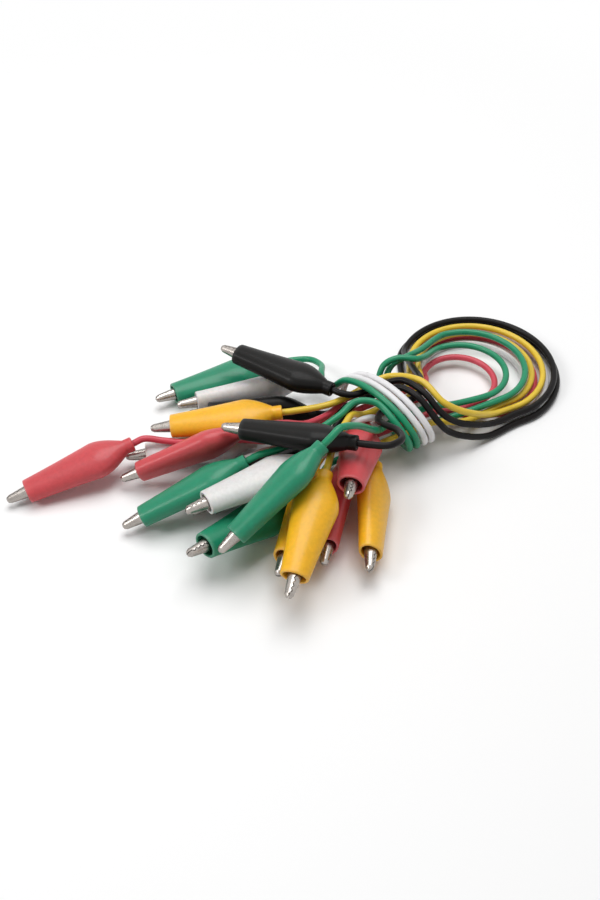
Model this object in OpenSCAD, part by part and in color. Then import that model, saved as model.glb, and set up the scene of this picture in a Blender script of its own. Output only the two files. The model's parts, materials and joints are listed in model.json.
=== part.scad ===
// A tied bundle of ten test leads. Each lead is a flexible wire with a sprung
// alligator clip at both ends, and each clip sits in a soft coloured sleeve.
// Millimetres, +Z up, the table at z = 0.
//
// One clip has its own frame: x runs from the sleeve's tail to the jaws' tip,
// y is the way the jaws open, z is along the pivot rivet.

/* [Sleeve] */
// length of the soft sleeve from tail to mouth
sleeve_len = 38; // [37:0.5:38.5]
// widest width of the sleeve, where fingers press
sleeve_w = 14.6; // [13.6:0.2:14.6]
// thickness of the sleeve at its widest place
sleeve_t = 9.2; // [8.8:0.2:9.2]
// width of the sleeve's open mouth
mouth_w = 8.8; // [8.4:0.2:9]
// thickness of the sleeve's open mouth
mouth_t = 6.8; // [6.6:0.2:7]
// outside diameter of the sleeve's tail neck
neck_d = 5; // [4.6:0.2:5.2]
// length of the straight neck at the tail
neck_len = 3; // [2:0.5:3.5]
// distance from the tail to the widest place
bulge_at = 13.5; // [13:0.5:14]
// thickness of the sleeve's wall
sleeve_wall = 0.9; // [0.7:0.1:0.9]

/* [Clip] */
// distance from the sleeve's tail to the tip of the jaws
tip_at = 45; // [44:0.5:45]
// distance from the sleeve's tail to the pivot rivet
pivot_at = 27; // [26.5:0.5:27.5]
// outside radius of the jaws' rounded nose at its root
nose_r = 2.2; // [2.1:0.05:2.2]
// thickness of the stamped sheet
sheet_t = 0.5; // [0.4:0.05:0.5]
// outside radius of the jaws' rounded nose near its tip
tip_r = 1.4; // [1.3:0.05:1.5]
// height of one tooth above the parting line
tooth_h = 0.6; // [0.4:0.05:0.7]
// distance from tooth to tooth
tooth_pitch = 1.6; // [1.4:0.1:1.8]
// space left between the closed jaws' teeth
bite_gap = 0.3; // [0.2:0.05:0.3]
// diameter of the pivot rivet
rivet_d = 1.5; // [1.3:0.1:1.6]
// diameter of the spring's wire
spring_d = 0.5; // [0.4:0.05:0.5]

/* [Wire] */
// outside diameter of the insulated wire
wire_d = 2.3; // [2:0.1:2.3]
// diameter of the bundle of copper strands in the crimp
strand_d = 1.3; // [1:0.1:1.3]

/* [Tie] */
// half width of the wraps that tie the bundle
wrap_w = 18; // [18:0.1:18.2]
// half height of the wraps that tie the bundle
wrap_h = 10.5; // [10.4:0.1:10.6]
// advance of a wrap in one turn
wrap_pitch = 24; // [23.5:0.5:24.5]

/* [Hidden] */
fit = 0.05;
gap = 0.1;
// The clips: name, place of the tail's centre, and yaw, pitch and roll.
// A clip that lies flat has its axis at half the sleeve's thickness.
flat = sleeve_t / 2;
CLIPS = [
  ["black_1", [11, 9, 20], [150, 0, 15]],
  ["green_2", [-11, 40, flat], [-155, 0, 180]],
  ["white_3", [0, 27, 7], [-165, 0, 65]],
  ["yellow_4", [-6, 2, 16], [-175, -5, 180]],
  ["black_5", [18, -26, 29], [165, -5, 30]],
  ["red_6", [-56, -8, 11], [-155, -10, 180]],
  ["red_7", [-18, -11, 20], [-170, -20, 60]],
  ["green_8", [-17, -24, 19], [-160, -20, 25]],
  ["white_9", [4, -23, 19], [-150, 0, 5]],
  ["black_10", [4, -14, 15], [-155, -15, -10]],
  ["green_11", [-3, -28, 3], [-135, 15, -15]],
  ["green_12", [7, -32, 34], [-140, -25, 35]],
  ["yellow_13", [8, -32, 22], [-105, -10, -10]],
  ["red_14", [15, -13, 8], [-100, 0, 70]],
  ["red_15", [22, -2, 13], [-100, 15, -10]],
  ["yellow_16", [25, -15, 8], [-95, 0, 125]],
  ["white_17", [-15, 0, flat], [-170, 0, 180]],
  ["yellow_18", [5, -19, 9], [-105, 0, 105]],
  ["white_19", [8, -2, flat], [-155, 0, 180]],
  ["black_20", [6, 10, 8], [180, 0, 90]]
];
COLOURS = ["red", "green", "yellow", "white", "black"];
SHADES = [[0.79, 0.25, 0.27], [0.1, 0.55, 0.38], [0.93, 0.73, 0.16], [0.92, 0.91, 0.9], [0.12, 0.11, 0.11]];
steel = [0.75, 0.72, 0.69];
copper = [0.72, 0.45, 0.3];

function shade(name) = SHADES[[for (k = [0:4]) if (search(COLOURS[k][0], name)[0] == 0) k][0]];
function clip_of(name) = [for (c = CLIPS) if (c[0] == name) c][0];
function turn(v, a) = [v[0] * cos(a) - v[1] * sin(a), v[0] * sin(a) + v[1] * cos(a)];

// A clip's local point, turned by roll, then pitch, then yaw, and moved to its tail.
function rolled(p, a) = let (q = turn([p[1], p[2]], a)) [p[0], q[0], q[1]];
function pitched(p, a) = let (q = turn([p[0], p[2]], a)) [q[0], p[1], q[1]];
function yawed(p, a) = let (q = turn([p[0], p[1]], a)) [q[0], q[1], p[2]];
function turned(c, p) = yawed(pitched(rolled(p, c[2][2]), c[2][1]), c[2][0]);
function placed(c, p) = c[1] + turned(c, p);

// The sleeve's section: a neck, a swelling up to the widest place, a slow taper to the mouth.
function swell(u) = sin(90 * u);
function taper(u) = u * (1.2 - 0.2 * u);
function section(x, neck, wide, mouth) =
  x <= neck_len ? neck
  : x <= bulge_at ? neck + (wide - neck) * swell((x - neck_len) / (bulge_at - neck_len))
  : wide + (mouth - wide) * taper((x - bulge_at) / (sleeve_len - bulge_at));
function half_w(x) = section(x, neck_d, sleeve_w, mouth_w) / 2;
function half_t(x) = section(x, neck_d, sleeve_t, mouth_t) / 2;
sides = 14;
bore_r = wire_d / 2 + 0.15;
bore_len = 5;
hollow_at = 6;
OUTER_X = [0, neck_len, 5.5, 8.5, bulge_at, 20, 26, 32, sleeve_len];
INNER_X = [sleeve_len, 32, 26, 20, bulge_at, 9, hollow_at];
function oval(x, a, b) = [for (k = [0:sides - 1]) [x, a * cos(360 * k / sides), b * sin(360 * k / sides)]];
OUTER = [for (x = OUTER_X) oval(x, half_w(x), half_t(x))];
INNER = [for (x = INNER_X) oval(x, half_w(x) - sleeve_wall, half_t(x) - sleeve_wall)];
SLEEVE = concat(OUTER, INNER, [oval(bore_len, bore_r, bore_r), oval(0, bore_r, bore_r)]);

// The jaws: ears on the rivet, the fixed jaw's outside the moving jaw's.
ear_r = 2;
ear_r_in = 1.5;
ear_out = 2.1;
ear_in = ear_out - sheet_t - gap;
nose_at = pivot_at + 3.5;
rivet_head_r = 1.3;
rivet_head_t = 0.4;
coil_r = rivet_d / 2 + spring_d + 0.05;
crimp_r = 1.5;
crimp_at = 6.2;
crimp_end = 10;
teeth_at = nose_at + 3.6;
teeth = floor((tip_at - 1 - teeth_at) / tooth_pitch);

// The origin: under the middle of all the clips, on the table.
NOSE = [[tip_at - 1.2, tip_r], [tip_at - 0.35, 0.95], [tip_at, 0]];
function spread(c, k) = let (d = turned(c, [1, 0, 0])[k]) sqrt(max(0, 1 - d * d));
function reach(c, k, s) = concat(
  [for (ring = OUTER) for (p = ring) placed(c, p)[k]],
  [for (n = NOSE) placed(c, [n[0], 0, 0])[k] + s * n[1] * spread(c, k)]);
LOW = [for (k = [0:2]) min([for (c = CLIPS) min(reach(c, k, -1))])];
HIGH = [for (k = [0:2]) max([for (c = CLIPS) max(reach(c, k, 1))])];
ORIGIN = [(LOW[0] + HIGH[0]) / 2, (LOW[1] + HIGH[1]) / 2, LOW[2]];

// The tie: t runs along the bundle's core, b across it, z up.
tie_at = [30, 8];
tie_yaw = 30;
tie_z = 12;
loop_from = 12;
loop_yaw = 15;
LANE_TOP = [-9, -6, -3, 0, 4.5, 7.5, 10.5];
function tied(p) = concat(tie_at + turn([p[0], p[1]], tie_yaw), [p[2]]);
function span(a, b, n) = [for (i = [0:n - 1]) a + (b - a) * i / (n - 1)];
function flip(p) = [for (i = [len(p) - 1:-1:0]) p[i]];

// One strand round the core: an oval helix. Angle 0 is the back, 90 the top, 180 the front.
function lane(k, a, b) = [for (f = span(a, b, max(2, floor(abs(b - a) / 30) + 1)))
  [LANE_TOP[k] + (f - 90) / 360 * wrap_pitch, wrap_w * cos(f), tie_z + wrap_h * sin(f)]];
// One straight run through the core.
function core(b, z, t0, t1) = [for (t = span(t0, t1, max(2, floor((t1 - t0) / 8) + 1))) [t, b, z]];
// One round loop beside the tie, its radius r and its centre d away.
function loop(r, d, z0, z1, a0, a1) = [for (u = span(0, 1, 13)) let (a = a0 + (a1 - a0) * u + loop_yaw)
  [loop_from + d * cos(loop_yaw) + r * cos(a), d * sin(loop_yaw) + r * sin(a), z0 + (z1 - z0) * u]];
// A wire's end inside a sleeve: straight along the clip's axis.
function tail(name) = let (c = clip_of(name)) [for (x = [bore_len, 0, -4]) placed(c, [x, 0, 0])];

// The leads: name, near clip, the route in tie coordinates, far clip.
LEADS = [
  ["black_a", "black_10", concat(
    [[-20, -2, 18], [-13, 1, 19.5], [-6, 2, 19], [0, 1.5, 19.5], [4, -2, 21.5]], lane(4, 120, 160),
    [[13, -18.5, 10.5], [20, -20, 6], [30, -20.5, 2]], loop(29.5, 36, 1.5, 1.5, -115, 115),
    [[21, 21, 2], [16, 14.5, 5.5]], flip(core(10, 10, -12, 9))), "black_20"],
  ["black_b", "black_1", concat(
    [[-10.5, 5, 19.5], [-3, 5, 19], [3, 4.5, 19.5], [6.5, 1, 21.5]], lane(5, 115, 150),
    [[16, -17.5, 13], [22, -18.5, 9.5], [33, -18.5, 5]], loop(28, 36, 4.5, 4.5, -115, 115),
    [[24, 22, 8], [20, 12.5, 12], [15, 2, 17]], flip(core(-4.5, 17.5, -4, 9)),
    [[-10, -9, 19.5], [-12, -15, 23], [-11.5, -22.5, 26], [-14.5, -28.5, 28.5], [-20, -29.5, 29.5]]), "black_5"],
  ["yellow_a", "yellow_4", concat(
    [[-20, 7.5, 17], [-12, 7.5, 17], [-3, 8, 18], [5, 7.5, 19]], lane(6, 100, 135),
    [[18, -15.5, 16], [24, -17, 12.5], [33, -16, 7]], loop(24.5, 35, 4.5, 4.5, -115, 115),
    [[20, 15, 5]], flip(core(4, 6.5, -12, 12)), [[-15, 3, 8], [-20, 0, 9], [-27, -5, 9.5]]), "yellow_18"],
  ["yellow_b", "yellow_16", concat(
    [[-9, -10.5, 8.5]], core(-11, 9, -2, 12), [[24, -13.5, 6]], loop(21, 34, 4.5, 4.5, -115, 115),
    [[25, 17, 8], [19, 7, 11.5]], flip(core(-1.5, 15.5, -10, 10)),
    [[-17, -4, 20.5], [-22, -8, 22.5], [-29, -13, 22.5], [-32.5, -16.5, 22]]), "yellow_13"],
  ["green_a", "green_11", concat(
    [[-36, -11.5, 2], [-26, -5, 2.5], [-18, -7, 5]], core(-8, 6, -12, 12), [[24, -10.5, 7]],
    loop(20, 31, 7.5, 7.5, -110, 70), [[29, 22, 10.5], [22, 19.5, 12.5], [15, 19.5, 11]],
    flip(lane(1, 10, 335)), [[-12, 23, 11.5], [-9, 29, 10.5], [-5, 36, 7.5], [-6, 43, 5.5]]), "green_2"],
  ["green_b", "green_12", concat(
    [[-33, -21.5, 36.5], [-26, -20, 33], [-17, -16.5, 24], [-11, -12, 17.5]], core(-8.5, 14.5, -4, 12),
    [[22, -8, 10.5]], loop(16, 26, 9, 7, -110, 70), [[23, 15, 14], [16, 18, 15], [11, 19, 13]],
    flip(lane(0, 105, 335)),
    [[-14, -1.5, 23], [-22, -4, 22.5], [-30, -4.5, 20.5], [-38, -5, 20], [-46, -5.5, 20]]), "green_8"],
  ["white_a", "white_9", concat(
    [[-31, -12.5, 19], [-27.5, -10, 19.5], [-22, -6.5, 19.5], [-16, -5, 17.5], [-11, -5, 17]],
    core(-4.5, 12.5, -3, 10), [[16, -3, 9], [21, -5.5, 4], [27, -10.5, 2]],
    loop(26, 35, 1.5, 1.5, -115, 115), [[21, 15, 1.5]], flip(lane(2, 5, 280)),
    [[-8, 22.5, 8], [-9.5, 28, 7]]), "white_3"],
  ["white_b", "white_19", concat(
    core(0.5, 6, -12, 12), [[20, 1, 2.5], [28, -3, 1.5]], loop(19, 33, 1.5, 1.5, -115, 115),
    [[27, 15.5, 1.5], [21, 8, 1.5]], flip(lane(3, -50, 270)),
    [[-14, 8.5, 2.5], [-20, 8.5, 3], [-28, 9.5, 4]]), "white_17"],
  ["red_a", "red_15", concat(
    [[-5.5, 1, 9.5]], core(1.5, 9.5, 0, 12), [[18, -0.5, 6.5], [28, -7, 2]],
    loop(22.5, 34, 1.5, 1.5, -115, 115), [[24, 15.5, 3.5], [19, 11, 8.5]], flip(core(9, 14.5, -12, 8)),
    [[-18, 7, 13.5], [-30, 4, 16], [-38, 4, 20]]), "red_7"],
  ["red_b", "red_14", concat(
    core(-6, 8.5, -12, 12), [[18, -6.5, 8], [24, -7, 5.5]], loop(13, 25, 4.5, 4.5, -115, 115),
    [[24.5, 11, 6], [20, 7, 7.5]], flip(core(6.5, 10, -12, 12)),
    [[-28, 7.5, 10.5], [-42, 7.5, 11], [-50, 12, 11.5], [-60, 18, 11], [-67, 21.5, 10.5], [-73, 26, 10.5]]), "red_6"]
];
function route(l) = [for (p = concat(tail(l[1]), [for (q = l[2]) tied(q)], flip(tail(l[3])))) p - ORIGIN];

// A smooth curve through a route's points, its speed set by the root of the distance between them.
ring_step = 4.6;
wire_sides = 6;
function root(a, b) = sqrt(norm(b - a));
function slope(p, q, r, d, e) = (q - p) / d - (r - p) / (d + e) + (r - q) / e;
function arc(p, q, r, s) =
  let (d = root(p, q), e = root(q, r), f = root(r, s), m = e * slope(p, q, r, d, e), n = e * slope(q, r, s, e, f))
  let (steps = max(1, round(norm(r - q) / ring_step)))
  [for (i = [0:steps - 1]) let (u = i / steps, v = u * u, w = v * u)
    (2 * w - 3 * v + 1) * q + (w - 2 * v + u) * m + (3 * v - 2 * w) * r + (w - v) * n];
function smooth(p) = let (n = len(p) - 1, q = concat([2 * p[0] - p[1]], p, [2 * p[n] - p[n - 1]]))
  concat([for (i = [1:n]) each arc(q[i - 1], q[i], q[i + 1], q[i + 2])], [p[n]]);
LINES = [for (l = LEADS) smooth(route(l))];

// The least space between two places on one wire that are six rings or more apart.
function self_gap(c) = min([for (i = [0:len(c) - 1]) for (j = [i + 6:1:len(c) - 1]) norm(c[j] - c[i])]) - wire_d;
for (i = [0:len(LEADS) - 1]) echo(str(LEADS[i][0], " least self gap ", self_gap(LINES[i]), " rings ", len(LINES[i])));
echo(origin = ORIGIN, low = LOW, high = HIGH);

function unit(v) = v / norm(v);
function heading(c, i) = unit(c[min(i + 1, len(c) - 1)] - c[max(i - 1, 0)]);
function square(u, t) = unit(u - (u * t) * t);
// A side vector carried along the wire without twisting.
function sides_of(c) = [for (i = 0, u = square([0.1, 0.2, 1], heading(c, 0)); i < len(c);
  i = i + 1, u = i < len(c) ? square(u, heading(c, i)) : u) u];
function ring(c, t, u, r) = let (v = cross(t, u))
  [for (k = [0:wire_sides - 1]) c + r * (cos(360 * k / wire_sides) * u + sin(360 * k / wire_sides) * v)];

// Triangles over a stack of rings: closed at both ends, or joined from last to first.
function skin(n, m, ends) = concat(
  [for (i = [0:n - (ends ? 2 : 1)]) for (j = [0:m - 1]) let (a = i * m, b = ((i + 1) % n) * m, k = (j + 1) % m)
    each [[a + j, b + j, b + k], [a + j, b + k, a + k]]],
  ends ? [[for (j = [0:m - 1]) j], [for (j = [m - 1:-1:0]) (n - 1) * m + j]] : []);

module at_clip(c) {
  translate(c[1] - ORIGIN)
    rotate([c[2][2], -c[2][1], c[2][0]])
      children();
}

module sleeve(c) {
  color(shade(c[0]))
    at_clip(c)
      polyhedron([for (r = SLEEVE) each r], skin(len(SLEEVE), sides, false));
}

module along_x() {
  rotate([0, 90, 0])
    children();
}

module nose_shell() {
  along_x()
    rotate_extrude($fn = 48)
      polygon([
        [nose_r, nose_at], [nose_r - 0.1, sleeve_len], [tip_r, tip_at - 1.2], [0.95, tip_at - 0.35], [0, tip_at],
        [0, tip_at - 0.55], [0.55, tip_at - 0.75], [tip_r - sheet_t, tip_at - 1.4], [nose_r - 0.1 - sheet_t, sleeve_len],
        [nose_r - sheet_t, nose_at]]);
}

// The parting line between the jaws, and all that lies on one side of it.
module bite(side) {
  line = concat([[nose_at - 1, 0]],
    [for (k = [0:2 * teeth]) [teeth_at + k * tooth_pitch / 2, k % 2 == 0 ? 0 : tooth_h]],
    [[tip_at + 1, 0]]);
  translate([0, 0, -4])
    linear_extrude(8)
      polygon(concat([for (p = line) p + [0, side * bite_gap / 2]], [[tip_at + 1, side * 4], [nose_at - 1, side * 4]]));
}

module nose(side) {
  intersection() {
    nose_shell();
    bite(side);
  }
}

// Two ears of radius r at height z on both sides, with arms forward into the nose.
module ears(side, z, r, y0, y1) {
  for (s = [0, 1])
    mirror([0, 0, s])
      translate([0, 0, z - sheet_t])
        difference() {
          union() {
            translate([pivot_at, 0, 0])
              cylinder(r = r, h = sheet_t, $fn = 48);
            linear_extrude(sheet_t)
              polygon([
                [pivot_at, side * 0.3], [pivot_at + 1.9, side * y0], [nose_at + 2.5, side * y0],
                [nose_at + 2.5, side * y1], [nose_at, side * y1], [pivot_at, side * 1.9]]);
          }
          translate([pivot_at, 0, -1])
            cylinder(r = rivet_d / 2 + fit, h = sheet_t + 2, $fn = 48);
        }
}

// A plate bent along a line of points in x and y, as wide as twice w.
module plate(points, w) {
  n = len(points);
  translate([0, 0, -w])
    linear_extrude(2 * w)
      polygon(concat(points, [for (i = [n - 1:-1:0]) points[i] + [0, points[i][1] > 0 ? -sheet_t : sheet_t]]));
}

module jaw(c) {
  color(steel)
    at_clip(c)
      union() {
        nose(1);
        ears(1, ear_in, ear_r_in, 0.2, 1.5);
        plate([[nose_at + 1, nose_r - 0.05], [pivot_at, nose_r - 0.05], [pivot_at - 3, 2.6], [14, 5.3]], ear_in);
      }
}

module frame(c) {
  at_clip(c)
    union() {
      nose(-1);
      ears(-1, ear_out, ear_r, 0.2, 0.9);
      plate([[nose_at + 1, 0.05 - nose_r], [pivot_at, 0.05 - nose_r], [pivot_at - 3, -2.7], [18, -4.5],
        [12, -3.7], [9, -1.45], [7, -1.4]], ear_out);
      translate([crimp_at, 0, 0])
        along_x()
          difference() {
            cylinder(r = crimp_r, h = crimp_end - crimp_at, $fn = 48);
            translate([0, 0, -1])
              cylinder(r = strand_d / 2 + gap, h = crimp_end - crimp_at + 2, $fn = 48);
          }
    }
}

module frames(colour) {
  color(steel)
    for (c = CLIPS)
      if (search(colour[0], c[0])[0] == 0)
        frame(c);
}

module rivets() {
  color(steel)
    for (c = CLIPS)
      at_clip(c)
        translate([pivot_at, 0, 0])
          union() {
            translate([0, 0, -ear_out - gap])
              cylinder(d = rivet_d, h = 2 * (ear_out + gap), $fn = 48);
            for (s = [0, 1])
              mirror([0, 0, s])
                translate([0, 0, ear_out + gap / 2])
                  cylinder(r = rivet_head_r, h = rivet_head_t, $fn = 48);
          }
}

// A straight round wire from one point to another in x and y.
module leg(p, q) {
  d = q - p;
  translate([p[0], p[1], 0])
    rotate([0, 0, atan2(d[1], d[0])])
      along_x()
        cylinder(d = spring_d, h = norm(d), $fn = 24);
}

module springs() {
  color(steel)
    for (c = CLIPS)
      at_clip(c)
        union() {
          for (k = [-1:1])
            translate([pivot_at, 0, k * 0.9 * spring_d])
              rotate_extrude($fn = 48)
                translate([coil_r, 0])
                  circle(d = spring_d, $fn = 24);
          leg([pivot_at - 1, 0.9], [16, 3.9]);
          leg([pivot_at - 1, -0.9], [19, -3.4]);
        }
}

module strands() {
  color(copper)
    for (c = CLIPS)
      at_clip(c)
        translate([bore_len, 0, 0])
          along_x()
            cylinder(d = strand_d, h = crimp_end - bore_len - 0.2, $fn = 24);
}

module wire(i) {
  c = LINES[i];
  u = sides_of(c);
  points = [for (k = [0:len(c) - 1]) each ring(c[k], heading(c, k), u[k], wire_d / 2)];
  color(shade(LEADS[i][0]))
    polyhedron(points, skin(len(c), wire_sides, true));
}

for (c = CLIPS) {
  sleeve(c);
  jaw(c);
}
for (i = [0:len(LEADS) - 1]) {
  wire(i);
}
for (k = COLOURS) {
  frames(k);
}
rivets();
springs();
strands();
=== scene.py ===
"""Looks for a tied bundle of test leads: soft vinyl sleeves, insulated wires and nickel-plated jaws.

Lengths in the tables below are in millimetres, and are turned into metres where a mesh is made.
A clip's own frame: x runs from the sleeve's tail to the jaws' tip, y is the way the jaws open and
z lies along the pivot rivet.
"""
import json
import math

import bpy
import numpy as np
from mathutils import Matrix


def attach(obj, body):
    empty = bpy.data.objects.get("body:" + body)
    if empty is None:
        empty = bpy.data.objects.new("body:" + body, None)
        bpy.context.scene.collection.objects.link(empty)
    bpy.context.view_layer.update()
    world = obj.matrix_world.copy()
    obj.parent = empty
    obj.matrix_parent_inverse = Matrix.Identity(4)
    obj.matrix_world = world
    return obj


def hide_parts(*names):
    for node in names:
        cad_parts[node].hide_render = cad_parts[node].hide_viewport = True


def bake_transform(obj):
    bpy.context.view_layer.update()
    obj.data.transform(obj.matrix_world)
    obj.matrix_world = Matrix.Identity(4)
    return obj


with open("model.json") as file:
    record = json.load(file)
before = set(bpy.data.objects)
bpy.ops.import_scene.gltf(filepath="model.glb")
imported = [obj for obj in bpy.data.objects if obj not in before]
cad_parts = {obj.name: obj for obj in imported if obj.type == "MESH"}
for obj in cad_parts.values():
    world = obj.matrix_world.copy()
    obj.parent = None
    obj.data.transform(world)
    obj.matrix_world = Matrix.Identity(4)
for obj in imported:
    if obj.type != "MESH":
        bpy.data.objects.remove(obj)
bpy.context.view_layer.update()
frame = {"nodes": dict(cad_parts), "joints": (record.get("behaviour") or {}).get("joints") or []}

MM = 0.001
FULL_TURN = 2 * math.pi

# Sleeve
SLEEVE_LEN = 38.0
SLEEVE_W = 14.6
SLEEVE_T = 9.2
MOUTH_W = 8.8
MOUTH_T = 6.8
NECK_D = 5.0
NECK_LEN = 3.0
BULGE_AT = 13.5
WALL = 0.9
BORE_LEN = 5.0
HOLLOW_AT = 6.0
RIM = 0.4
# How strongly the taper behind the mouth is curved.
TAPER_BOW = 0.2
# Gap round the wire in the tail's bore, and the places of the bore's rows.
BORE_GAP = 0.06
BORE_ROWS = (BORE_LEN, 2.5, 0.3)
# Length of the band at the mouth painted paler, as light shining through the thin vinyl there.
RIM_GLOW_LEN = 2.0
# Points round a sleeve, and rows of points along each stretch of its skin.
SLEEVE_SIDES = 72
TAIL_ROWS = 6
NECK_ROWS = 7
BODY_ROWS = 72
RIM_ROWS = 9
INNER_ROWS = 40

# Clip
PIVOT_AT = 27.0
# Two points along the sleeve: from where the vinyl would stay still to where it would follow the moving jaw.
SQUEEZE = [(0, 7.0, 0), (3.0, 16.5, 0)]

# Spring: its wire, its coil round the rivet and the ends of the two legs under the levers.
SPRING_D = 0.5
COIL_R = 1.05
COIL_TURNS = 2
COIL_RISE = 0.5
FIXED_LEG = (19.0, -3.1, 0)
MOVING_LEG = (16.0, 3.6, 0)
# Two points about the rivet: from where the spring would stay still to where it would follow the moving jaw.
WIND = [(PIVOT_AT, -0.6, 0), (PIVOT_AT, 0.6, 0)]
SPRING_SIDES = 12
COIL_POINTS = 72
LEG_POINTS = 12

# Wire: its thickness, its straight run behind a sleeve, the step between rings and the points of a ring.
WIRE_D = 2.3
WIRE_STUB = 4
WIRE_STEP = 0.6
WIRE_SIDES = 20
# A direction that no wire or spring starts along: the first ring of a tube is turned by it.
FIRST_SIDE = (0.1, 0.2, 1.0)

# Tie
TIE_AT = np.array([30.0, 8.0])
TIE_YAW = 30.0
TIE_Z = 12.0
WRAP_W = 18.0
WRAP_H = 10.5
WRAP_PITCH = 24.0
LANE_TOP = [-9, -6, -3, 0, 4.5, 7.5, 10.5]
LANE_STEP = 30
CORE_HALF = 12
CORE_STEP = 8

# Loops beside the tie
LOOP_FROM = 12.0
LOOP_YAW = 15.0
LOOP_HALF = 115
LOOP_POINTS = 13

FLAT = SLEEVE_T / 2
# Clip: the tail's place, and its yaw, pitch and roll in degrees.
CLIPS = {
    "black_1": ((11, 9, 20), (150, 0, 15)),
    "green_2": ((-11, 40, FLAT), (-155, 0, 180)),
    "white_3": ((0, 27, 7), (-165, 0, 65)),
    "yellow_4": ((-6, 2, 16), (-175, -5, 180)),
    "black_5": ((18, -26, 29), (165, -5, 30)),
    "red_6": ((-56, -8, 11), (-155, -10, 180)),
    "red_7": ((-18, -11, 20), (-170, -20, 60)),
    "green_8": ((-17, -24, 19), (-160, -20, 25)),
    "white_9": ((4, -23, 19), (-150, 0, 5)),
    "black_10": ((4, -14, 15), (-155, -15, -10)),
    "green_11": ((-3, -28, 3), (-135, 15, -15)),
    "green_12": ((7, -32, 34), (-140, -25, 35)),
    "yellow_13": ((8, -32, 22), (-105, -10, -10)),
    "red_14": ((15, -13, 8), (-100, 0, 70)),
    "red_15": ((22, -2, 13), (-100, 15, -10)),
    "yellow_16": ((25, -15, 8), (-95, 0, 125)),
    "white_17": ((-15, 0, FLAT), (-170, 0, 180)),
    "yellow_18": ((5, -19, 9), (-105, 0, 105)),
    "white_19": ((8, -2, FLAT), (-155, 0, 180)),
    "black_20": ((6, 10, 8), (180, 0, 90)),
}


def colour_of(name):
    """The colour that a clip's or a lead's name begins with."""
    return name.split("_")[0]


def turn(axis, degrees):
    """Matrix of a right-hand turn about one axis."""
    c = math.cos(math.radians(degrees))
    s = math.sin(math.radians(degrees))
    i, j = [(1, 2), (2, 0), (0, 1)][axis]
    m = np.eye(3)
    m[i, i] = m[j, j] = c
    m[i, j] = -s
    m[j, i] = s
    return m


def clip_turn(clip):
    """Matrix of a clip's roll, then pitch, then yaw."""
    yaw, pitch, roll = CLIPS[clip][1]
    return turn(2, yaw) @ turn(1, -pitch) @ turn(0, roll)


# Where the row's origin lies in the frame of these tables: the first pivot's place in both frames tells it.
first = frame["joints"][0]
first_clip = first["name"].replace("pivot_", "")
first_pivot = CLIPS[first_clip][0] + clip_turn(first_clip) @ (PIVOT_AT, 0, 0)
ORIGIN = first_pivot - np.array(first["pos_m"]) / MM


def clip_points(clip, points):
    """Local points of a clip, rolled, pitched, yawed and moved to its tail, in metres in the row frame."""
    return (np.asarray(points, float) @ clip_turn(clip).T + np.array(CLIPS[clip][0]) - ORIGIN) * MM


def tie_points(points):
    """Points along, across and above the tie, turned by its yaw, in metres in the row frame."""
    p = np.asarray(points, float)
    c = math.cos(math.radians(TIE_YAW))
    s = math.sin(math.radians(TIE_YAW))
    x = TIE_AT[0] + c * p[:, 0] - s * p[:, 1]
    y = TIE_AT[1] + s * p[:, 0] + c * p[:, 1]
    return (np.stack([x, y, p[:, 2]], 1) - ORIGIN) * MM


def lane(k, a, b):
    """One strand round the core: an oval helix from angle a to b, with 0 at the back and 90 on top."""
    f = np.linspace(a, b, max(2, int(abs(b - a) / LANE_STEP) + 1))
    r = np.radians(f)
    t = LANE_TOP[k] + (f - 90) / 360 * WRAP_PITCH
    return list(zip(t, WRAP_W * np.cos(r), TIE_Z + WRAP_H * np.sin(r)))


def core(b, z, t0=-CORE_HALF, t1=CORE_HALF):
    """A straight run through the core, b across and z above, from t0 to t1 along the tie."""
    return [(t, b, z) for t in np.linspace(t0, t1, max(2, int((t1 - t0) / CORE_STEP) + 1))]


def loop(r, d, z0, z1, a0=-LOOP_HALF, a1=LOOP_HALF):
    """A round loop beside the tie, of radius r, its centre d away, rising evenly from z0 to z1."""
    a = np.radians(np.linspace(a0, a1, LOOP_POINTS) + LOOP_YAW)
    ct = LOOP_FROM + d * math.cos(math.radians(LOOP_YAW))
    cb = d * math.sin(math.radians(LOOP_YAW))
    return list(zip(ct + r * np.cos(a), cb + r * np.sin(a), np.linspace(z0, z1, LOOP_POINTS)))


def flip(points):
    """The same points, walked the other way."""
    return list(reversed(points))


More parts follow.
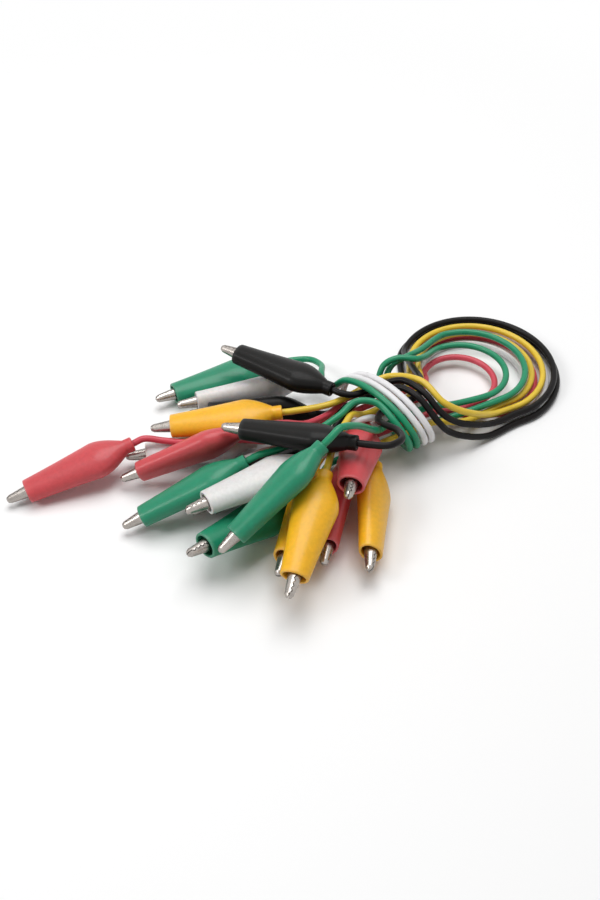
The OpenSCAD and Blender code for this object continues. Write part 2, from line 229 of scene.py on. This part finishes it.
# Lead: near clip, the route in tie coordinates, far clip.
LEADS = {
    "black_a": (
        "black_10",
        [(-20, -2, 18), (-13, 1, 19.5), (-6, 2, 19), (0, 1.5, 19.5), (4, -2, 21.5)]
        + lane(4, 120, 160)
        + [(13, -18.5, 10.5), (20, -20, 6), (30, -20.5, 2)]
        + loop(29.5, 36, 1.5, 1.5)
        + [(21, 21, 2), (16, 14.5, 5.5)]
        + flip(core(10, 10, -12, 9)),
        "black_20"),
    "black_b": (
        "black_1",
        [(-10.5, 5, 19.5), (-3, 5, 19), (3, 4.5, 19.5), (6.5, 1, 21.5)]
        + lane(5, 115, 150)
        + [(16, -17.5, 13), (22, -18.5, 9.5), (33, -18.5, 5)]
        + loop(28, 36, 4.5, 4.5)
        + [(24, 22, 8), (20, 12.5, 12), (15, 2, 17)]
        + flip(core(-4.5, 17.5, -4, 9))
        + [(-10, -9, 19.5), (-12, -15, 23), (-11.5, -22.5, 26), (-14.5, -28.5, 28.5), (-20, -29.5, 29.5)],
        "black_5"),
    "yellow_a": (
        "yellow_4",
        [(-20, 7.5, 17), (-12, 7.5, 17), (-3, 8, 18), (5, 7.5, 19)]
        + lane(6, 100, 135)
        + [(18, -15.5, 16), (24, -17, 12.5), (33, -16, 7)]
        + loop(24.5, 35, 4.5, 4.5)
        + [(20, 15, 5)]
        + flip(core(4, 6.5))
        + [(-15, 3, 8), (-20, 0, 9), (-27, -5, 9.5)],
        "yellow_18"),
    "yellow_b": (
        "yellow_16",
        [(-9, -10.5, 8.5)]
        + core(-11, 9, -2, 12)
        + [(24, -13.5, 6)]
        + loop(21, 34, 4.5, 4.5)
        + [(25, 17, 8), (19, 7, 11.5)]
        + flip(core(-1.5, 15.5, -10, 10))
        + [(-17, -4, 20.5), (-22, -8, 22.5), (-29, -13, 22.5), (-32.5, -16.5, 22)],
        "yellow_13"),
    "green_a": (
        "green_11",
        [(-36, -11.5, 2), (-26, -5, 2.5), (-18, -7, 5)]
        + core(-8, 6)
        + [(24, -10.5, 7)]
        + loop(20, 31, 7.5, 7.5, -110, 70)
        + [(29, 22, 10.5), (22, 19.5, 12.5), (15, 19.5, 11)]
        + flip(lane(1, 10, 335))
        + [(-12, 23, 11.5), (-9, 29, 10.5), (-5, 36, 7.5), (-6, 43, 5.5)],
        "green_2"),
    "green_b": (
        "green_12",
        [(-33, -21.5, 36.5), (-26, -20, 33), (-17, -16.5, 24), (-11, -12, 17.5)]
        + core(-8.5, 14.5, -4, 12)
        + [(22, -8, 10.5)]
        + loop(16, 26, 9, 7, -110, 70)
        + [(23, 15, 14), (16, 18, 15), (11, 19, 13)]
        + flip(lane(0, 105, 335))
        + [(-14, -1.5, 23), (-22, -4, 22.5), (-30, -4.5, 20.5), (-38, -5, 20), (-46, -5.5, 20)],
        "green_8"),
    "white_a": (
        "white_9",
        [(-31, -12.5, 19), (-27.5, -10, 19.5), (-22, -6.5, 19.5), (-16, -5, 17.5), (-11, -5, 17)]
        + core(-4.5, 12.5, -3, 10)
        + [(16, -3, 9), (21, -5.5, 4), (27, -10.5, 2)]
        + loop(26, 35, 1.5, 1.5)
        + [(21, 15, 1.5)]
        + flip(lane(2, 5, 280))
        + [(-8, 22.5, 8), (-9.5, 28, 7)],
        "white_3"),
    "white_b": (
        "white_19",
        core(0.5, 6)
        + [(20, 1, 2.5), (28, -3, 1.5)]
        + loop(19, 33, 1.5, 1.5)
        + [(27, 15.5, 1.5), (21, 8, 1.5)]
        + flip(lane(3, -50, 270))
        + [(-14, 8.5, 2.5), (-20, 8.5, 3), (-28, 9.5, 4)],
        "white_17"),
    "red_a": (
        "red_15",
        [(-5.5, 1, 9.5)]
        + core(1.5, 9.5, 0, 12)
        + [(18, -0.5, 6.5), (28, -7, 2)]
        + loop(22.5, 34, 1.5, 1.5)
        + [(24, 15.5, 3.5), (19, 11, 8.5)]
        + flip(core(9, 14.5, -12, 8))
        + [(-18, 7, 13.5), (-30, 4, 16), (-38, 4, 20)],
        "red_7"),
    "red_b": (
        "red_14",
        core(-6, 8.5)
        + [(18, -6.5, 8), (24, -7, 5.5)]
        + loop(13, 25, 4.5, 4.5)
        + [(24.5, 11, 6), (20, 7, 7.5)]
        + flip(core(6.5, 10))
        + [(-28, 7.5, 10.5), (-42, 7.5, 11), (-50, 12, 11.5)]
        + [(-60, 18, 11), (-67, 21.5, 10.5), (-73, 26, 10.5)],
        "red_6"),
}

# Vinyl and insulation colours, linear, and the darkest and palest share of them that a piece shows.
VINYL = {
    "red": (0.58, 0.065, 0.075),
    "green": (0.008, 0.230, 0.118),
    "yellow": (0.88, 0.455, 0.013),
    "white": (0.72, 0.70, 0.69),
    "black": (0.006, 0.0055, 0.005),
}
VINYL_SHADES = (0.86, 1.12)
INSULATION = {
    "red": (0.60, 0.065, 0.095),
    "green": (0.008, 0.255, 0.120),
    "yellow": (0.76, 0.53, 0.045),
    "white": (0.80, 0.79, 0.80),
    "black": (0.008, 0.007, 0.007),
}
INSULATION_SHADES = (0.85, 1.12)
# How strongly the soft pieces of each colour mirror the lamps.
SHINE = {"red": 0.35, "green": 0.35, "yellow": 0.35, "white": 0.35, "black": 0.12}
# Dull and bright places of the metals, linear.
NICKEL = ((0.25, 0.225, 0.205), (0.52, 0.48, 0.445))
COPPER = ((0.42, 0.16, 0.07), (0.72, 0.34, 0.19))


# Camera

CAMERA_DISTANCE = 370.0
CAMERA_ELEVATION = 45.0
CAMERA_NEAR = 0.01
LENS = 42.56
SENSOR = 36.0


def make_camera():
    """The photograph's view: 45 degrees down at a point on the table."""
    data = bpy.data.cameras.new("camera")
    data.sensor_width = SENSOR
    data.lens = LENS
    data.clip_start = CAMERA_NEAR
    camera = bpy.data.objects.new("camera", data)
    e = math.radians(CAMERA_ELEVATION)
    place = CAMERA_DISTANCE * np.array([0, -math.cos(e), math.sin(e)]) - ORIGIN
    camera.location = place * MM
    camera.rotation_euler = (math.radians(90) - e, 0, 0)
    bpy.context.scene.collection.objects.link(camera)
    bpy.context.scene.camera = camera


# Meshes

def grid_mesh(name, points, wrap_rows=False, cap=False):
    """A mesh from a grid of points [row, column, 3] whose columns close on themselves.

    Rows join the next row, and the last joins the first where wrap_rows is set. With cap, the first
    and last row are closed by one face each.
    """
    rows, cols = points.shape[:2]
    i, j = np.meshgrid(np.arange(rows if wrap_rows else rows - 1), np.arange(cols), indexing="ij")
    i2 = (i + 1) % rows
    j2 = (j + 1) % cols
    quads = np.stack([i * cols + j, i2 * cols + j, i2 * cols + j2, i * cols + j2], -1).reshape(-1, 4)
    faces = quads.tolist()
    if cap:
        faces += [list(range(cols)), list(range(rows * cols - 1, (rows - 1) * cols - 1, -1))]
    mesh = bpy.data.meshes.new(name)
    mesh.from_pydata(points.reshape(-1, 3).tolist(), [], faces)
    mesh.polygons.foreach_set("use_smooth", np.ones(len(faces), bool))
    mesh.update()
    obj = bpy.data.objects.new(name, mesh)
    bpy.context.scene.collection.objects.link(obj)
    return obj


def point_attribute(obj, name, values):
    """One number for each point of a mesh, for its material to read."""
    attribute = obj.data.attributes.new(name, "FLOAT", "POINT")
    attribute.data.foreach_set("value", np.asarray(values, np.float32).ravel())


def smooth_line(points, step):
    """A curve through points whose speed follows the root of the distance between them, in metres.

    Between two points it is the cubic with those ends and with slopes taken from the four nearest
    points. Past each end the line is carried on by its last stretch.
    """
    p = np.vstack([2 * points[0] - points[1], points, 2 * points[-1] - points[-2]])
    root = np.sqrt(np.linalg.norm(np.diff(p, axis=0), axis=1))[:, None]
    before = root[:-1]
    after = root[1:]
    slopes = ((p[1:-1] - p[:-2]) / before - (p[2:] - p[:-2]) / (before + after)
              + (p[2:] - p[1:-1]) / after)
    pieces = []
    for k in range(len(points) - 1):
        n = max(1, int(round(root[k + 1, 0] ** 2 / step)))
        u = (np.arange(n) / n)[:, None]
        m0 = root[k + 1] * slopes[k]
        m1 = root[k + 1] * slopes[k + 1]
        pieces.append((2 * u**3 - 3 * u**2 + 1) * points[k] + (u**3 - 2 * u**2 + u) * m0
                      + (3 * u**2 - 2 * u**3) * points[k + 1] + (u**3 - u**2) * m1)
    return np.vstack(pieces + [points[-1:]])


def carried_sides(line):
    """Two unit vectors square to a line and to each other, carried along it without twisting.

    At each point the last side loses its share along the heading there and is made a unit long again.
    """
    t = np.gradient(line, axis=0)
    t /= np.linalg.norm(t, axis=1)[:, None]
    u = np.empty_like(t)
    side = np.array(FIRST_SIDE)
    for k in range(len(t)):
        side = side - (side @ t[k]) * t[k]
        side /= np.linalg.norm(side)
        u[k] = side
    return u, np.cross(t, u)


def tube(name, line, radius, sides):
    """A round tube: circles of one radius, square to a line and carried along it."""
    u, v = carried_sides(line)
    a = np.linspace(0, FULL_TURN, sides, endpoint=False)
    ring = np.cos(a)[None, :, None] * u[:, None] + np.sin(a)[None, :, None] * v[:, None]
    return grid_mesh(name, line[:, None] + radius * ring, cap=True)


# Materials

class Value:
    """A shader socket that adds Math nodes when it is used in an expression."""

    def __init__(self, tree, socket):
        self.tree = tree
        self.socket = socket

    def math(self, operation, other):
        """A Math node of this value and another."""
        return self.tree.node("ShaderNodeMath", {"operation": operation}, {0: self, 1: other})

    def __add__(self, other):
        return self.math("ADD", other)

    __radd__ = __add__

    def __mul__(self, other):
        return self.math("MULTIPLY", other)

    __rmul__ = __mul__

    def __sub__(self, other):
        return self.math("SUBTRACT", other)

    def __rsub__(self, other):
        return self.math("MULTIPLY", -1.0).math("ADD", other)


class Tree:
    """The nodes of a material or a world."""

    def __init__(self, owner):
        owner.use_nodes = True
        self.nodes = owner.node_tree.nodes
        self.links = owner.node_tree.links

    def fill(self, socket, value):
        """Gives a socket a link or a plain value."""
        if isinstance(value, Value):
            self.links.new(value.socket, socket)
        else:
            socket.default_value = value

    def node(self, kind, settings, inputs, output=0):
        """A node of one kind: its settings first, then the values or links of its sockets."""
        node = self.nodes.new(kind)
        for key, value in settings.items():
            setattr(node, key, value)
        for key, value in inputs.items():
            self.fill(node.inputs[key], value)
        return Value(self, node.outputs[output])

    def in_view(self):
        """1 for a ray from the camera, and for one that metal or glass sends on, else 0."""
        camera, glossy, through = (self.node("ShaderNodeLightPath", {}, {}, "Is %s Ray" % kind)
                                   for kind in ("Camera", "Glossy", "Transmission"))
        return camera + glossy + through

    def surface(self, output, factor, a, b):
        """Ends the tree in a shader between two shaders."""
        mixed = self.node("ShaderNodeMixShader", {}, {0: factor, 1: a, 2: b})
        self.links.new(mixed.socket, self.nodes[output].inputs["Surface"])


class Finish(Tree):
    """A material made from nodes."""

    def __init__(self, name):
        self.material = bpy.data.materials.new(name)
        super().__init__(self.material)
        self.shader = self.nodes["Principled BSDF"]

    def place(self):
        """The piece's own coordinates."""
        return self.node("ShaderNodeTexCoord", {}, {}, "Object")

    def attribute(self, name):
        """A number that the piece's points carry."""
        return self.node("ShaderNodeAttribute", {"attribute_name": name}, {}, "Fac")

    def noise(self, scale, detail, roughness):
        """Cloudy noise, from 0 to 1, with so many waves to the metre."""
        sockets = {"Vector": self.place(), "Scale": scale, "Detail": detail, "Roughness": roughness}
        return self.node("ShaderNodeTexNoise", {}, sockets)

    def mix(self, factor, a, b):
        """A colour between two colours."""
        return self.node("ShaderNodeMix", {"data_type": "RGBA"}, {0: factor, 6: a, 7: b}, 2)

    def bump(self, height, strength, distance):
        """A normal tilted by a height."""
        sockets = {"Height": height, "Strength": strength, "Distance": distance}
        return self.node("ShaderNodeBump", {}, sockets, "Normal")

    def set(self, **sockets):
        """Values or links on the shader: words of a socket's name joined by underscores."""
        for key, value in sockets.items():
            self.fill(self.shader.inputs[key.replace("_", " ")], value)


def rgba(colour, gain=1.0):
    """A colour with alpha 1, made lighter or darker."""
    return tuple(min(1.0, c * gain) for c in colour) + (1.0,)


def vinyl_finish(colour_name):
    """Soft dip-moulded vinyl: slow blotches, a dusty mottle, a fine grain, and the mouth's rim painted paler
    as light shining through it.
    """
    f = Finish("vinyl_" + colour_name)
    colour = VINYL[colour_name]
    shine = SHINE[colour_name]
    dark, pale = VINYL_SHADES
    blotch = f.noise(scale=90, detail=3, roughness=0.55)
    grain = f.noise(scale=2600, detail=2, roughness=0.6)
    dust = f.noise(scale=800, detail=3, roughness=0.6)
    mottle = 0.5 * blotch + 1.1 * dust - 0.3
    base = f.mix(mottle, rgba(colour, dark), rgba(colour, pale))
    # Painted light: this paler colour at the rim stands for light shining through the thin vinyl.
    painted_rim_glow = rgba(tuple(0.75 * c + 0.12 for c in colour))
    f.set(Base_Color=f.mix(0.35 * f.attribute("rim"), base, painted_rim_glow),
          Roughness=0.26 + 0.24 * mottle + 0.06 * grain,
          Normal=f.bump(grain, strength=0.18, distance=0.0002))
    f.set(Specular_IOR_Level=shine,
          Subsurface_Weight=0.15,
          Subsurface_Scale=0.0015,
          Coat_Weight=0.4 * shine,
          Coat_Roughness=0.1)
    return f.material


def insulation_finish(colour_name):
    """Extruded insulation: faint changes along the wire, a soft sheen, handled patches a little duller."""
    f = Finish("insulation_" + colour_name)
    colour = INSULATION[colour_name]
    dark, pale = INSULATION_SHADES
    streak = f.node("ShaderNodeTexNoise", {"noise_dimensions": "1D"},
                    {"W": f.attribute("along"), "Scale": 140.0, "Detail": 2.0})
    cloud = f.noise(scale=220, detail=3, roughness=0.5)
    grain = f.noise(scale=3200, detail=2, roughness=0.5)
    f.set(Base_Color=f.mix(0.6 * cloud + 0.4 * streak, rgba(colour, dark), rgba(colour, pale)),
          Roughness=0.21 + 0.18 * cloud,
          Normal=f.bump(grain, strength=0.10, distance=0.0001))
    f.set(Specular_IOR_Level=SHINE[colour_name])
    return f.material


def nickel_finish():
    """Bright nickel on stamped steel: fine tumbling scratches, dull patches and darker spots in the plate."""
    f = Finish("nickel_plate")
    dull, bright = NICKEL
    patch = f.noise(scale=420, detail=4, roughness=0.6)
    scratch = f.noise(scale=5200, detail=2, roughness=0.7)
    f.set(Base_Color=f.mix(patch, rgba(dull), rgba(bright)),
          Metallic=1.0,
          Roughness=0.16 + 0.16 * patch + 0.08 * scratch,
          Normal=f.bump(scratch, strength=0.15, distance=0.0001))
    return f.material


def copper_finish():
    """Bare copper strands, a little tarnished."""
    f = Finish("copper_strands")
    dull, bright = COPPER
    patch = f.noise(scale=900, detail=3, roughness=0.6)
    f.set(Base_Color=f.mix(patch, rgba(dull), rgba(bright)),
          Metallic=1.0,
          Roughness=0.25 + 0.2 * patch)
    return f.material


# Pieces

def section(x, neck, wide, mouth):
    """The sleeve's width at x: a straight neck, a quarter sine up to the widest place, a slow taper."""
    up = np.clip((x - NECK_LEN) / (BULGE_AT - NECK_LEN), 0, 1)
    down = np.clip((x - BULGE_AT) / (SLEEVE_LEN - BULGE_AT), 0, 1)
    taper = down * (1 + TAPER_BOW - TAPER_BOW * down)
    return neck + (wide - neck) * np.sin(math.pi / 2 * up) + (mouth - wide) * taper


def make_sleeve(clip, finish):
    """One sleeve as a closed skin: rows run up the outside, over the rim, down the inside and the bore.

    A row at x is an oval: half the width there times the cosine of the angle, half the thickness times
    its sine, both less a shrink. The shrink is a quarter circle at the tail and a half circle at the rim.
    """
    a = np.linspace(0, FULL_TURN, SLEEVE_SIDES, endpoint=False)

    def rows(x, half_w, half_t):
        along = np.broadcast_to(x[:, None], (len(x), len(a)))
        return np.stack([along, half_w[:, None] * np.cos(a), half_t[:, None] * np.sin(a)], -1)

    def ovals(x, shrink):
        half_w = section(x, NECK_D, SLEEVE_W, MOUTH_W) / 2 - shrink
        half_t = section(x, NECK_D, SLEEVE_T, MOUTH_T) / 2 - shrink
        return rows(x, half_w, half_t)

    quarter = np.linspace(0, math.pi / 2, TAIL_ROWS)[:-1]
    tail_end = ovals(RIM * (1 - np.cos(quarter)), RIM * (1 - np.sin(quarter)))
    neck_x = np.linspace(RIM, NECK_LEN, NECK_ROWS)
    body_x = np.linspace(NECK_LEN, SLEEVE_LEN - RIM, BODY_ROWS)[1:]
    outer = ovals(np.concatenate([neck_x, body_x]), 0)
    half = np.linspace(0, math.pi, RIM_ROWS)[1:-1]
    rim = ovals(SLEEVE_LEN - RIM + RIM * np.sin(half), WALL * (1 - np.cos(half)) / 2)
    inner = ovals(np.linspace(SLEEVE_LEN - RIM, HOLLOW_AT, INNER_ROWS), WALL)
    bore_x = np.array(BORE_ROWS)
    bore_r = np.full_like(bore_x, WIRE_D / 2 + BORE_GAP)
    bore = rows(bore_x, bore_r, bore_r)
    grid = np.concatenate([tail_end, outer, rim, inner, bore])
    points = clip_points(clip, grid.reshape(-1, 3)).reshape(grid.shape)
    obj = grid_mesh("sleeve_" + clip + "_vinyl", points, wrap_rows=True)
    # Painted light: a band at the mouth is made paler, standing for light shining through the thin vinyl.
    painted_rim_glow = np.clip((grid[:, :, 0] - SLEEVE_LEN + RIM_GLOW_LEN) / RIM_GLOW_LEN, 0, 1)
    point_attribute(obj, "rim", painted_rim_glow ** 2)
    obj.data.materials.append(finish)
    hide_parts("sleeve_" + clip)
    "sleeve_" + colour_of(clip)
    squeeze = clip_points(clip, SQUEEZE)
    "jaw_" + clip
    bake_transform(obj)


def make_spring(clip, finish):
    """One spring: a straight leg, a helix about the rivet that both legs meet as tangents, the other leg.

    A tangent from a leg's end touches the coil at the end's own angle, seen from the rivet, plus or
    minus the angle whose cosine is the coil's radius over the end's distance.
    """
    def touch(end, side):
        x = end[0] - PIVOT_AT
        y = end[1]
        return math.atan2(y, x) + side * math.acos(COIL_R / math.hypot(x, y))

    a = np.linspace(touch(FIXED_LEG, 1), touch(MOVING_LEG, -1) + FULL_TURN * COIL_TURNS, COIL_POINTS)
    rise = COIL_RISE * (a - a.mean()) / FULL_TURN
    coil = np.stack([PIVOT_AT + COIL_R * np.cos(a), COIL_R * np.sin(a), rise], 1)
    u = np.linspace(0, 1, LEG_POINTS)[:, None]
    fixed = FIXED_LEG + u * (coil[0] - FIXED_LEG)
    moving = coil[-1] + u * (MOVING_LEG - coil[-1])
    line = np.vstack([fixed[:-1], coil, moving[1:]])
    obj = tube("spring_" + clip, clip_points(clip, line), SPRING_D / 2 * MM, SPRING_SIDES)
    obj.data.materials.append(finish)
    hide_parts("springs")
    wind = clip_points(clip, WIND)
    "jaw_" + clip
    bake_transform(obj)


def make_wire(lead, finish):
    """One insulated wire: a tube on its lead's smooth route, from inside one sleeve's tail to the other's."""
    near, route, far = LEADS[lead]
    ends = [(BORE_LEN, 0, 0), (0, 0, 0), (-WIRE_STUB, 0, 0)]
    points = np.vstack([clip_points(near, ends), tie_points(route), clip_points(far, ends)[::-1]])
    line = smooth_line(points, WIRE_STEP * MM)
    obj = tube("wire_" + lead + "_insulation", line, WIRE_D / 2 * MM, WIRE_SIDES)
    run = np.concatenate([[0], np.cumsum(np.linalg.norm(np.diff(line, axis=0), axis=1))])
    point_attribute(obj, "along", np.repeat(run, WIRE_SIDES))
    obj.data.materials.append(finish)
    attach(obj, "bundle")
    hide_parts("wire_" + lead)
    "wire_" + colour_of(lead)


def repaint(node, finish):
    """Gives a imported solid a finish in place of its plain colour."""
    node.data.materials.clear()
    node.data.materials.append(finish)


# Surroundings, in metres

WHITE = (1.0, 1.0, 1.0, 1.0)
TABLE = (0.93, 0.93, 0.93, 1.0)
TABLE_HALF = 3.0
# The table turns plain white between these distances from the origin.
FADE_FROM = 0.16
FADE_TO = 0.42
# Brightness of the room that lights the table, and of the backdrop that is seen.
ROOM = 0.24
BACKDROP = 1.0
# Lamp: its place, what it faces, its side and its watts.
LAMPS = {
    "top": ((0.05, 0.25, 0.9), (0.02, 0, 0), 0.7, 6.8),
    "side": ((-0.7, -0.25, 0.7), (0, 0, 0), 0.35, 3.2),
}


def make_table():
    """A plain white table top under the bundle and far past it, one square, seen as pure white far off."""
    h = TABLE_HALF
    mesh = bpy.data.meshes.new("table")
    mesh.from_pydata([(-h, -h, 0), (h, -h, 0), (h, h, 0), (-h, h, 0)], [], [(0, 1, 2, 3)])
    table = bpy.data.objects.new("table", mesh)
    bpy.context.scene.collection.objects.link(table)
    f = Finish("table_top")
    f.set(Base_Color=TABLE, Roughness=0.6)
    away = f.node("ShaderNodeVectorMath", {"operation": "LENGTH"}, {0: f.place()}, "Value")
    far = f.node("ShaderNodeMapRange", {"interpolation_type": "SMOOTHSTEP"},
                 {"Value": away, "From Min": FADE_FROM, "From Max": FADE_TO}, "Result")
    glow = f.node("ShaderNodeEmission", {}, {"Color": WHITE})
    f.surface("Material Output", far * f.in_view(), Value(f, f.shader.outputs[0]), glow)
    mesh.materials.append(f.material)


def make_lamp(name, place, target, size, watts):
    """A square lamp at a place, tilted and turned to face a target."""
    data = bpy.data.lights.new(name, "AREA")
    data.size = size
    data.energy = watts
    lamp = bpy.data.objects.new(name, data)
    x, y, z = np.array(target) - np.array(place)
    lamp.location = place
    lamp.rotation_euler = (math.atan2(math.hypot(x, y), -z), 0, math.atan2(x, -y) + math.pi)
    bpy.context.scene.collection.objects.link(lamp)


def make_light():
    """Soft studio light: a large lamp above and behind, a smaller one from the left, a pale room."""
    for name, lamp in LAMPS.items():
        make_lamp(name, *lamp)
    world = bpy.data.worlds.new("room")
    tree = Tree(world)
    room = tree.node("ShaderNodeBackground", {}, {"Color": WHITE, "Strength": ROOM})
    backdrop = tree.node("ShaderNodeBackground", {}, {"Color": WHITE, "Strength": BACKDROP})
    tree.surface("World Output", tree.in_view(), room, backdrop)
    bpy.context.scene.world = world


make_camera()
insulations = {colour: insulation_finish(colour) for colour in INSULATION}
for lead_name in LEADS:
    make_wire(lead_name, insulations[colour_of(lead_name)])
vinyls = {colour: vinyl_finish(colour) for colour in VINYL}
for clip_name in CLIPS:
    make_sleeve(clip_name, vinyls[colour_of(clip_name)])
nickel = nickel_finish()
copper = copper_finish()
for clip_name in CLIPS:
    make_spring(clip_name, nickel)
for node_name, node in frame["nodes"].items():
    if node_name.startswith(("jaw_", "frames_", "rivets")):
        repaint(node, nickel)
    if node_name == "strands":
        repaint(node, copper)
make_table()
make_light()
bpy.context.scene.view_settings.view_transform = "Standard"
